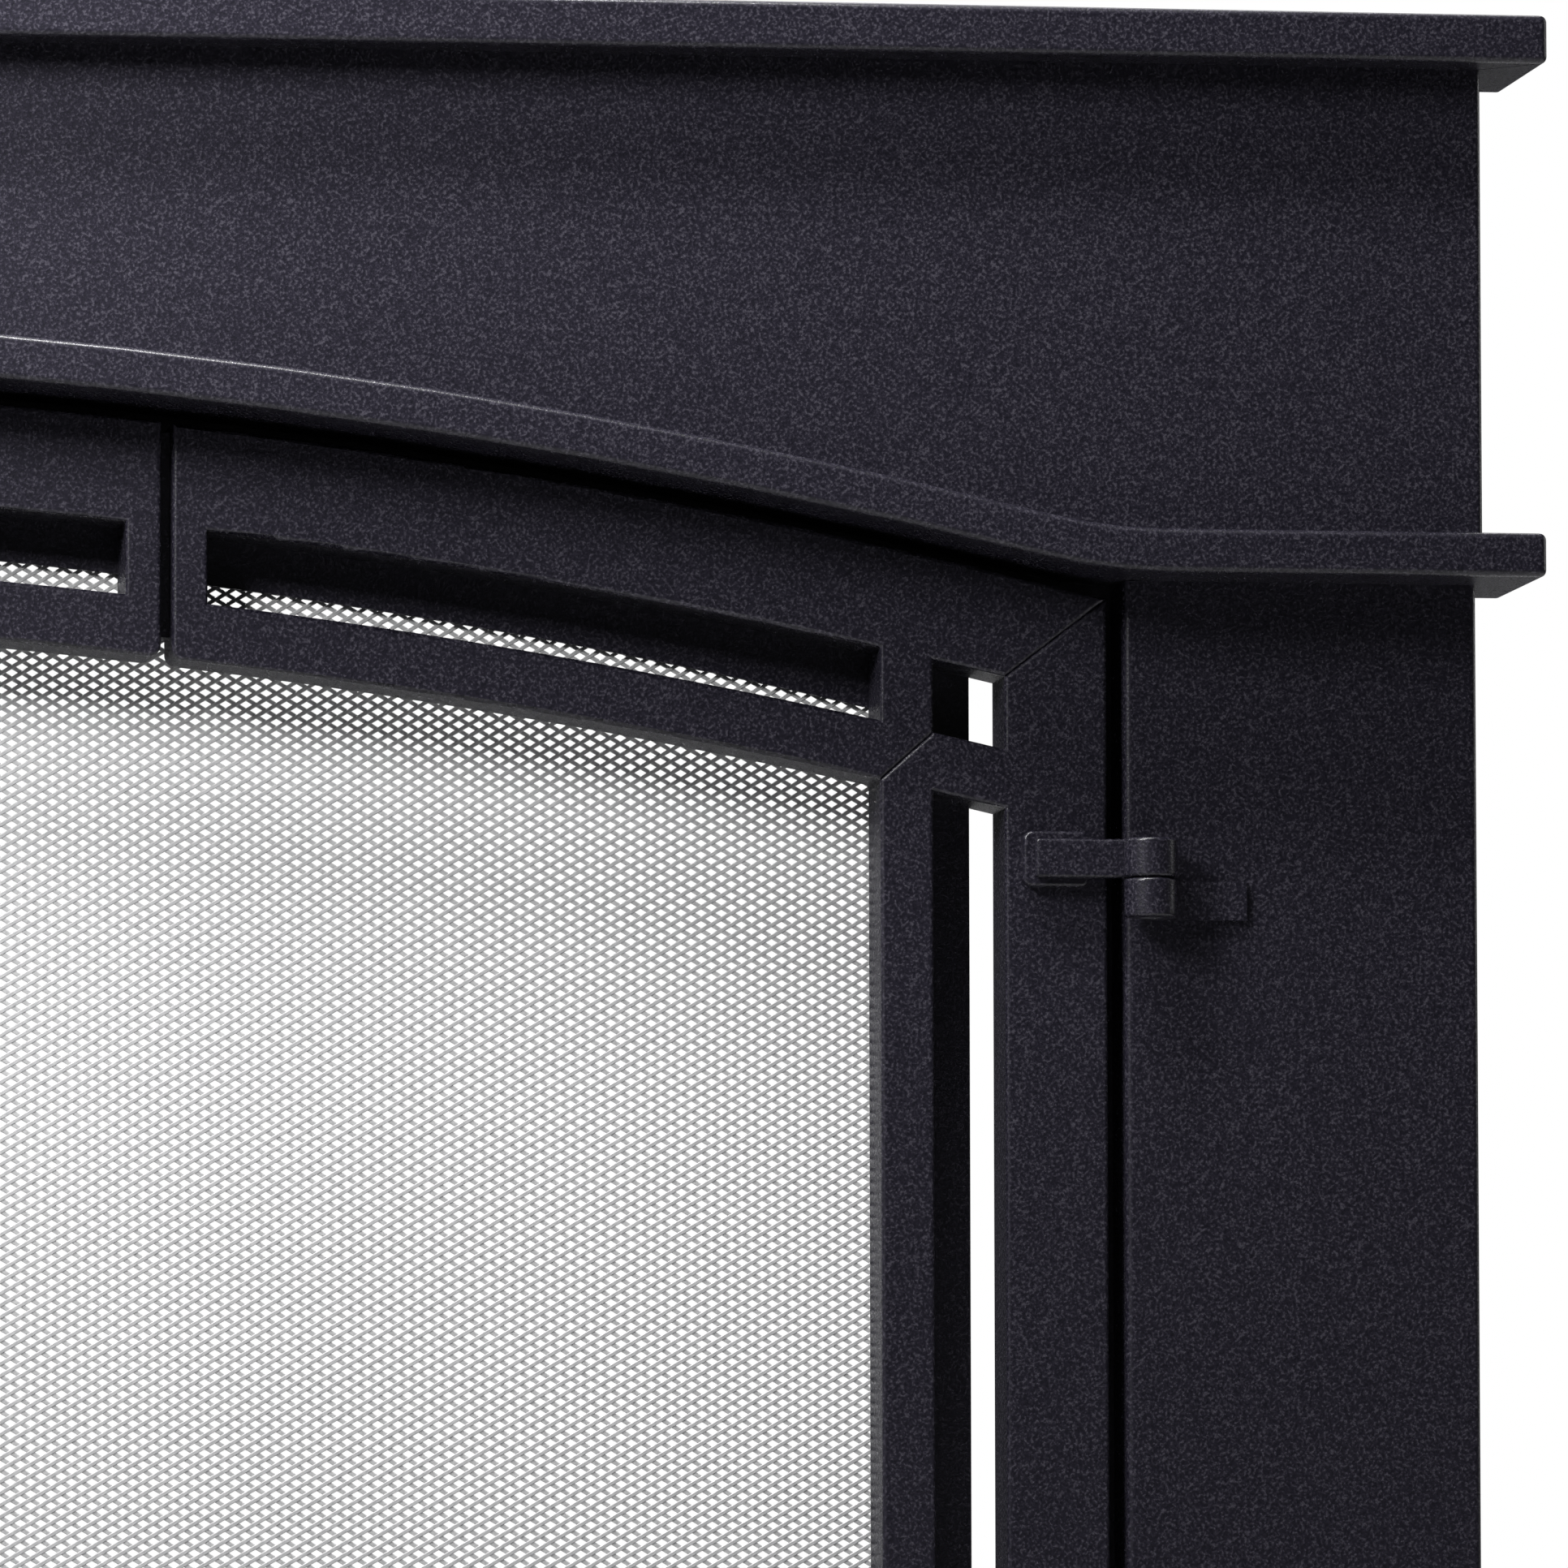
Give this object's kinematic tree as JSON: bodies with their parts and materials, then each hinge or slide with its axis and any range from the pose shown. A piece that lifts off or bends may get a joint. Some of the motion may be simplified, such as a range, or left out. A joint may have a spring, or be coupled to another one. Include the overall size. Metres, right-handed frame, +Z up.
{
  "type": "fireplace screen",
  "caption": "Free-standing steel fireplace screen with a shelf top, arched ledge and hinged mesh doors that swing open.",
  "frame": {"origin": "on the floor under the middle of the feet", "axes": "+X along the screen's width, to the right seen from the room; +Y away from the room, towards the fire; +Z up"},
  "size_m": [1.118, 0.34, 0.838],
  "materials": {
    "powder_coat": "fine-textured satin powder coat",
    "mesh_steel": "flattened expanded metal, satin grey",
    "zinc_steel": "zinc plated",
    "pad_rubber": "matt",
    "catch_plastic": "moulded, matt"
  },
  "bodies": {
    "frame": {"top_shelf": "powder_coat", "header_panel": "powder_coat", "arched_ledge": "powder_coat", "bottom_sill": "powder_coat", "floor_pads": "pad_rubber", "arch_stop": "powder_coat", "shelf_screws": "zinc_steel", "frame_bolts": "zinc_steel", "foot_bolts": "zinc_steel", "sill_screws": "zinc_steel", "left_leg": "powder_coat", "left_foot": "powder_coat", "left_jamb_stop": "powder_coat", "left_magnet_catch": "catch_plastic", "left_hinge_pins": "zinc_steel", "left_upper_leg_hinge": "powder_coat", "left_lower_leg_hinge": "powder_coat", "right_leg": "powder_coat", "right_foot": "powder_coat", "right_jamb_stop": "powder_coat", "right_magnet_catch": "catch_plastic", "right_hinge_pins": "zinc_steel", "right_upper_leg_hinge": "powder_coat", "right_lower_leg_hinge": "powder_coat"},
    "left_door": {"left_hinge_pads": "powder_coat", "left_outer_stile": "powder_coat", "left_meeting_stile": "powder_coat", "left_outer_top_rail": "powder_coat", "left_inner_top_rail": "powder_coat", "left_outer_bottom_rail": "powder_coat", "left_inner_bottom_rail": "powder_coat", "left_top_splice": "powder_coat", "left_bottom_splice": "powder_coat", "left_mesh_top_bar": "powder_coat", "left_mesh_bottom_bar": "powder_coat", "left_mesh_outer_bar": "powder_coat", "left_mesh_inner_bar": "powder_coat", "left_mesh": "mesh_steel", "left_handle": "powder_coat", "left_handle_screws": "zinc_steel", "left_upper_door_hinge": "powder_coat", "left_lower_door_hinge": "powder_coat"},
    "right_door": {"right_hinge_pads": "powder_coat", "right_outer_stile": "powder_coat", "right_meeting_stile": "powder_coat", "right_outer_top_rail": "powder_coat", "right_inner_top_rail": "powder_coat", "right_outer_bottom_rail": "powder_coat", "right_inner_bottom_rail": "powder_coat", "right_top_splice": "powder_coat", "right_bottom_splice": "powder_coat", "right_mesh_top_bar": "powder_coat", "right_mesh_bottom_bar": "powder_coat", "right_mesh_outer_bar": "powder_coat", "right_mesh_inner_bar": "powder_coat", "right_mesh": "mesh_steel", "right_handle": "powder_coat", "right_handle_screws": "zinc_steel", "right_upper_door_hinge": "powder_coat", "right_lower_door_hinge": "powder_coat"}
  },
  "joints": [
    {"name": "left_door_hinge", "type": "hinge", "parent": "frame", "child": "left_door", "pos_m": [-0.4554, -0.025, 0.36], "axis": [0, 0, -1], "range_deg": [0, 120]},
    {"name": "right_door_hinge", "type": "hinge", "parent": "frame", "child": "right_door", "pos_m": [0.4554, -0.025, 0.36], "axis": [0, 0, 1], "range_deg": [0, 120]}
  ]
}
